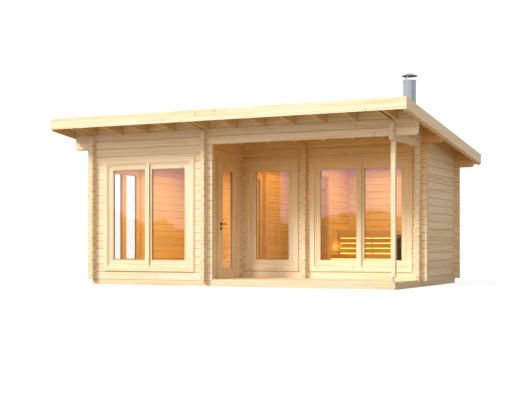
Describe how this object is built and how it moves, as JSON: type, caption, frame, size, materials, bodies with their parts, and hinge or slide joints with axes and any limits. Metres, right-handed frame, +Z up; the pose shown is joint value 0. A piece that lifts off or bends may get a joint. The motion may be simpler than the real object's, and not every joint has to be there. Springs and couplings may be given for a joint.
{
  "type": "garden sauna",
  "caption": "Log-built garden sauna with a mono-pitch roof, a covered corner terrace, large windows, glazed doors and a steel flue.",
  "frame": {"origin": "on the ground, under the centre of the roof's outline", "axes": "+Z up, +Y towards the back wall, +X along the front towards the terrace and sauna end"},
  "size_m": [6.45, 4.44, 3.65],
  "materials": {
    "base_timber": "sawn, untreated",
    "deck_board": "planed, untreated",
    "floor_board": "planed, untreated",
    "log": "planed spruce, untreated",
    "planed_wood": "planed spruce, untreated",
    "joinery": "planed spruce, untreated",
    "bench_wood": "planed, untreated",
    "pane": "clear",
    "zinc_steel": "zinc plated",
    "black_iron": "matt black",
    "heater_steel": "matt black",
    "heater_stone": "rough",
    "flue_steel": "bright",
    "lead_grey": "matt",
    "roofing_felt": "mineral surfaced"
  },
  "bodies": {
    "house": {"base_frame": "base_timber", "floor_joists": "base_timber", "terrace_deck": "deck_board", "room_floors": "floor_board", "front_wall": "log", "left_wall": "log", "back_wall": "log", "right_wall": "log", "terrace_wall": "log", "door_wall": "log", "partition": "log", "door_lintels": "log", "roof_beams": "log", "side_beam": "log", "terrace_post": "planed_wood", "post_foot": "zinc_steel", "rafters": "planed_wood", "roof_boards": "planed_wood", "roof_felt": "roofing_felt", "end_fascias": "planed_wood", "side_fascias": "planed_wood", "window_frames": "joinery", "window_glass": "pane", "upright_casings": "joinery", "level_casings": "joinery", "door_jambs": "joinery", "door_heads": "joinery", "hinge_pins": "zinc_steel", "upper_bench": "bench_wood", "lower_bench": "bench_wood", "heater": "heater_steel", "heater_stones": "heater_stone", "flue": "flue_steel", "flue_flashing": "lead_grey", "flue_cap": "flue_steel"},
    "entrance_leaf": {"entrance_door": "joinery", "entrance_glass": "pane", "entrance_fittings": "black_iron"},
    "entrance_handle": {"entrance_lever": "black_iron"},
    "inner_leaf": {"inner_door": "joinery", "inner_glass": "pane", "inner_fittings": "black_iron"},
    "inner_handle": {"inner_lever": "black_iron"},
    "sauna_leaf": {"sauna_door": "pane", "sauna_fittings": "zinc_steel"}
  },
  "joints": [
    {"name": "entrance_hinge", "type": "hinge", "parent": "house", "child": "entrance_leaf", "pos_m": [-0.491, -0.4565, 1.1], "axis": [0, 0, 1], "range_deg": [0, 100]},
    {"name": "entrance_lever_turn", "type": "hinge", "parent": "entrance_leaf", "child": "entrance_handle", "pos_m": [-0.522, -1.034, 1.06], "axis": [-1, 0, 0], "range_deg": [0, 40], "stiffness_Nm_per_rad": 0.6, "springref_deg": -40.11},
    {"name": "inner_hinge", "type": "hinge", "parent": "house", "child": "inner_leaf", "pos_m": [-0.579, 0.7155, 1.1], "axis": [0, 0, -1], "range_deg": [0, 100]},
    {"name": "inner_lever_turn", "type": "hinge", "parent": "inner_leaf", "child": "inner_handle", "pos_m": [-0.548, 0.138, 1.06], "axis": [-1, 0, 0], "range_deg": [0, 40], "stiffness_Nm_per_rad": 0.6, "springref_deg": -40.11},
    {"name": "sauna_door_hinge", "type": "hinge", "parent": "house", "child": "sauna_leaf", "pos_m": [0.686, 0.7155, 1.1], "axis": [0, 0, -1], "range_deg": [0, 100]}
  ]
}
